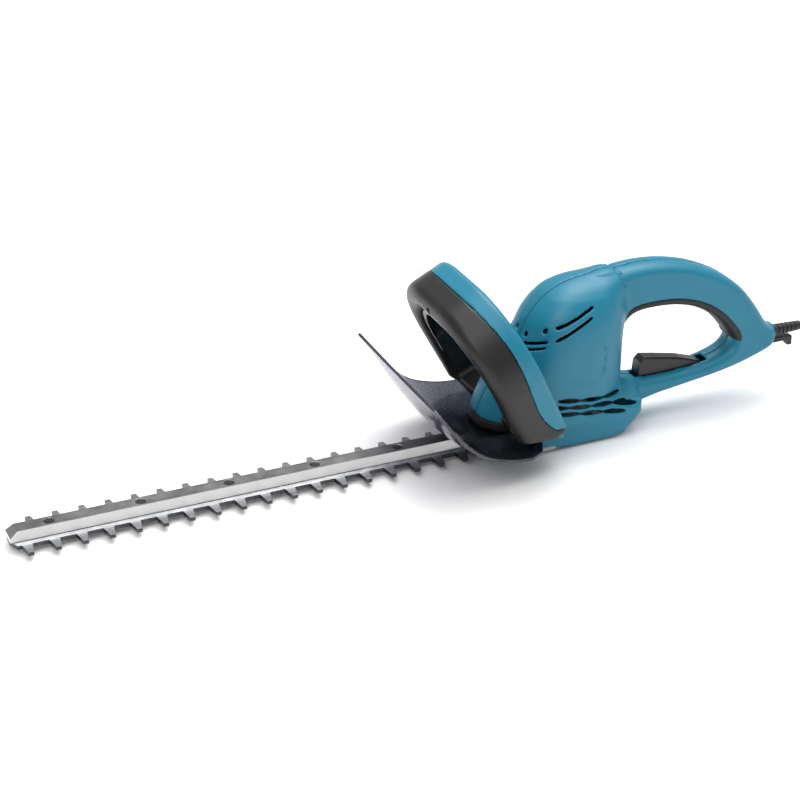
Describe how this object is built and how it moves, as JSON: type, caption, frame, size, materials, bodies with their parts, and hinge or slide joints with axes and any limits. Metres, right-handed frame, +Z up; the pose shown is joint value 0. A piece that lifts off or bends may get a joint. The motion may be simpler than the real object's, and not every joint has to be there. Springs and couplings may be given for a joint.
{
  "type": "hedge trimmer",
  "caption": "Corded hedge trimmer with twin reciprocating toothed blades, clear hand guard, looped front handle and closed rear handle.",
  "frame": {"origin": "centre of the flat underside that the tool stands on", "axes": "+X back along the blade from its tip to the rear handle, +Y to the user's left, +Z up"},
  "size_m": [1.0097, 0.2388, 0.1918],
  "materials": {
    "teal_nylon": "moulded glass-filled nylon, satin",
    "black_nylon": "moulded nylon, fine grain",
    "smoked_polycarbonate": "clear smoked sheet",
    "cutter_steel": "ground and nickel plated",
    "guide_bar_steel": "brushed",
    "screw_steel": "blackened",
    "cast_aluminium": "die cast, satin",
    "lamination_steel": "stacked sheet",
    "copper_and_brass": "varnished",
    "carbon": "pressed carbon",
    "black_rubber": "soft moulded"
  },
  "bodies": {
    "housing": {"armature_lower_bearing": "cutter_steel", "armature_upper_bearing": "cutter_steel", "base_plate": "cast_aluminium", "base_plate_screws": "screw_steel", "blade_bolts": "cutter_steel", "blade_nuts": "cutter_steel", "brush_holders": "copper_and_brass", "capacitor": "black_nylon", "carbon_brushes": "carbon", "cord_boot": "black_rubber", "cord_clamp": "black_nylon", "cord_hook": "black_nylon", "crankshaft_bearing": "cutter_steel", "crankshaft_bush": "copper_and_brass", "fan_baffle": "black_nylon", "field_windings": "copper_and_brass", "front_handle_cover": "black_nylon", "front_handle_screws": "screw_steel", "front_handle_shell": "teal_nylon", "front_skirt": "black_nylon", "front_switch": "black_nylon", "gear_case": "cast_aluminium", "grip_liner": "black_rubber", "guard_screws": "screw_steel", "guide_bar": "guide_bar_steel", "hand_guard": "smoked_polycarbonate", "housing_left": "teal_nylon", "housing_right": "teal_nylon", "housing_screws": "screw_steel", "mains_lead": "black_rubber", "plug_body": "black_rubber", "plug_pins": "cutter_steel", "rear_switch": "black_nylon", "stator_core": "lamination_steel", "trigger_pin": "cutter_steel", "trigger_spring": "cutter_steel"},
    "upper_blade": {"shear_blade_upper": "cutter_steel"},
    "lower_blade": {"shear_blade_lower": "cutter_steel"},
    "crank": {"crank_gear": "cutter_steel", "crankshaft": "cutter_steel"},
    "armature": {"armature_shaft": "cutter_steel", "armature_core": "lamination_steel", "armature_windings": "copper_and_brass", "commutator": "copper_and_brass", "cooling_fan": "black_nylon"},
    "rear_trigger": {"trigger": "black_nylon"},
    "front_switch_lever": {"front_lever": "black_nylon"}
  },
  "joints": [
    {"name": "upper_blade_slide", "type": "slide", "parent": "housing", "child": "upper_blade", "axis": [1, 0, 0], "range_m": [-0.0065, 0.0065]},
    {"name": "lower_blade_slide", "type": "slide", "parent": "housing", "child": "lower_blade", "axis": [1, 0, 0], "range_m": [-0.0065, 0.0065]},
    {"name": "armature_spin", "type": "hinge", "parent": "housing", "child": "armature", "pos_m": [0.012, 0, 0.08], "axis": [0, 0, 1], "continuous": true},
    {"name": "crank_spin", "type": "hinge", "parent": "housing", "child": "crank", "pos_m": [-0.03, 0, 0.02], "axis": [0, 0, 1], "continuous": true},
    {"name": "trigger_press", "type": "hinge", "parent": "housing", "child": "rear_trigger", "pos_m": [0.16, 0, 0.045], "axis": [0, -1, 0], "range_deg": [0, 4.5], "stiffness_Nm_per_rad": 0.8, "springref_deg": -6.88, "deforming": ["trigger_spring"]},
    {"name": "front_lever_squeeze", "type": "slide", "parent": "housing", "child": "front_switch_lever", "axis": [-0.454, 0, 0.891], "range_m": [0, 0.004], "stiffness_N_per_m": 600, "springref_m": -0.003}
  ],
  "couplings": [
    {"joint": "lower_blade_slide", "follows": "upper_blade_slide", "ratio": -1},
    {"joint": "crank_spin", "follows": "armature_spin", "ratio": -0.16667}
  ]
}
